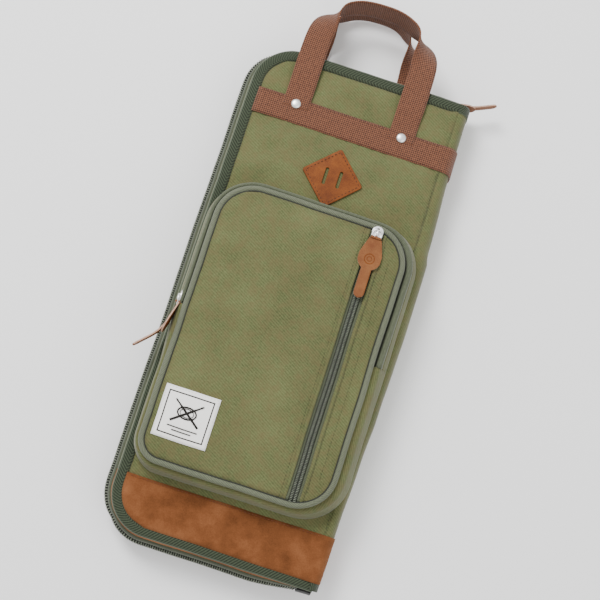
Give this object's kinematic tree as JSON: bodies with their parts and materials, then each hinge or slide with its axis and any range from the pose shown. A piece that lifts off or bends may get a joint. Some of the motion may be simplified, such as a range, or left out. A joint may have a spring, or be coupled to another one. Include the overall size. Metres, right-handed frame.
{
  "type": "drum stick bag",
  "caption": "Zip-round clamshell bag for drum sticks with a soft spine, inner stick pockets, an outer zip pocket and two webbing handles.",
  "frame": {"origin": "middle of the closed bag's padded back face, which it lies on", "axes": "+Z out of the front face, +Y towards the handles, +X towards the spine"},
  "size_m": [0.2533, 0.5385, 0.0764],
  "materials": {
    "canvas": "woven canvas",
    "binding": "herringbone tape",
    "piping": "fine woven tape",
    "webbing": "coarse webbing",
    "suede": "suede",
    "leather": "smooth leather",
    "lining": "plain lining",
    "coil": "satin",
    "steel": "polished",
    "label": "woven label",
    "black_tab": "woven tape"
  },
  "bodies": {
    "back_half": {"back_panel": "canvas", "back_gusset": "canvas", "back_gusset_suede": "suede", "back_binding": "binding", "back_webbing_band": "webbing", "back_suede_base": "suede", "back_lining": "lining", "back_stick_pocket_tall": "lining", "back_stick_pocket_short": "lining", "back_zipper_tape": "piping", "back_zipper_coil": "coil", "back_handle_ends": "webbing", "back_rivets": "steel", "main_zipper_end_tabs": "black_tab"},
    "spine": {"spine_panel": "canvas", "spine_webbing_band": "webbing", "spine_suede": "suede", "spine_lining": "lining"},
    "front_half": {"front_panel": "canvas", "front_gusset": "canvas", "front_gusset_suede": "suede", "front_binding": "binding", "front_webbing_band": "webbing", "front_suede_base": "suede", "front_lining": "lining", "front_stick_pocket_tall": "lining", "front_stick_pocket_short": "lining", "front_zipper_tape": "piping", "front_zipper_coil": "coil", "front_handle_ends": "webbing", "front_rivets": "steel", "lash_patch": "leather", "outer_pocket_gusset": "canvas", "outer_pocket_tape": "piping", "outer_pocket_coil": "coil", "outer_pocket_zip_tab": "canvas", "outer_face_lower_left": "canvas", "outer_face_lower_right": "canvas", "outer_piping_lower": "piping", "face_zipper_tape_lower": "piping", "face_zipper_coil_lower": "coil", "flat_pocket_lining_lower": "lining", "woven_label": "label"},
    "pocket_flap": {"outer_face_upper_left": "canvas", "outer_face_upper_right": "canvas", "outer_piping_upper": "piping", "face_zipper_tape_upper": "piping", "face_zipper_coil_upper": "coil", "flat_pocket_lining_upper": "lining", "flap_tape": "piping", "flap_coil": "coil"},
    "main_slider": {"main_slider": "steel"},
    "main_puller": {"main_puller": "leather"},
    "pocket_slider": {"pocket_slider": "steel"},
    "pocket_puller": {"pocket_puller": "leather"},
    "face_slider": {"face_slider": "steel"},
    "face_puller": {"face_puller": "leather"},
    "front_handle": {"front_handle": "webbing"},
    "back_handle": {"back_handle": "webbing"}
  },
  "joints": [
    {"name": "spine_fold", "type": "hinge", "parent": "back_half", "child": "spine", "pos_m": [0.1025, 0, 0], "axis": [0, 1, 0], "range_deg": [0, 45]},
    {"name": "front_fold", "type": "hinge", "parent": "spine", "child": "front_half", "pos_m": [0.1025, 0, 0.046], "axis": [0, 1, 0], "range_deg": [0, 135]},
    {"name": "pocket_flap_fold", "type": "hinge", "parent": "front_half", "child": "pocket_flap", "pos_m": [0, -0.031, 0.0729], "axis": [-1, 0, 0], "range_deg": [-105, 0]},
    {"name": "main_slider_travel", "type": "slide", "parent": "back_half", "child": "main_slider", "axis": [-1, 0, 0], "range_m": [0, 0.128]},
    {"name": "main_puller_swing", "type": "hinge", "parent": "main_slider", "child": "main_puller", "pos_m": [0.0831, 0.2421, 0.023], "axis": [0, 0, 1], "range_deg": [0, 140]},
    {"name": "pocket_slider_travel", "type": "slide", "parent": "front_half", "child": "pocket_slider", "axis": [0, -1, 0], "range_m": [-0.08, 0]},
    {"name": "pocket_puller_swing", "type": "hinge", "parent": "pocket_slider", "child": "pocket_puller", "pos_m": [-0.0984, -0.0321, 0.0615], "axis": [0, 0, 1], "range_deg": [-130, 4]},
    {"name": "face_slider_travel", "type": "slide", "parent": "pocket_flap", "child": "face_slider", "axis": [0, 1, 0], "range_m": [-0.1, 0]},
    {"name": "face_puller_swing", "type": "hinge", "parent": "face_slider", "child": "face_puller", "pos_m": [0.055, 0.0789, 0.0746], "axis": [1, 0, 0], "range_deg": [-140, 0]},
    {"name": "front_handle_swing", "type": "hinge", "parent": "front_half", "child": "front_handle", "pos_m": [-0.002, 0.1948, 0.045], "axis": [-1, 0, 0], "range_deg": [-120, 0]},
    {"name": "back_handle_swing", "type": "hinge", "parent": "back_half", "child": "back_handle", "pos_m": [-0.002, 0.1948, 0.001], "axis": [1, 0, 0], "range_deg": [-120, 0]}
  ],
  "couplings": [
    {"joint": "front_fold", "follows": "spine_fold", "ratio": 3}
  ]
}
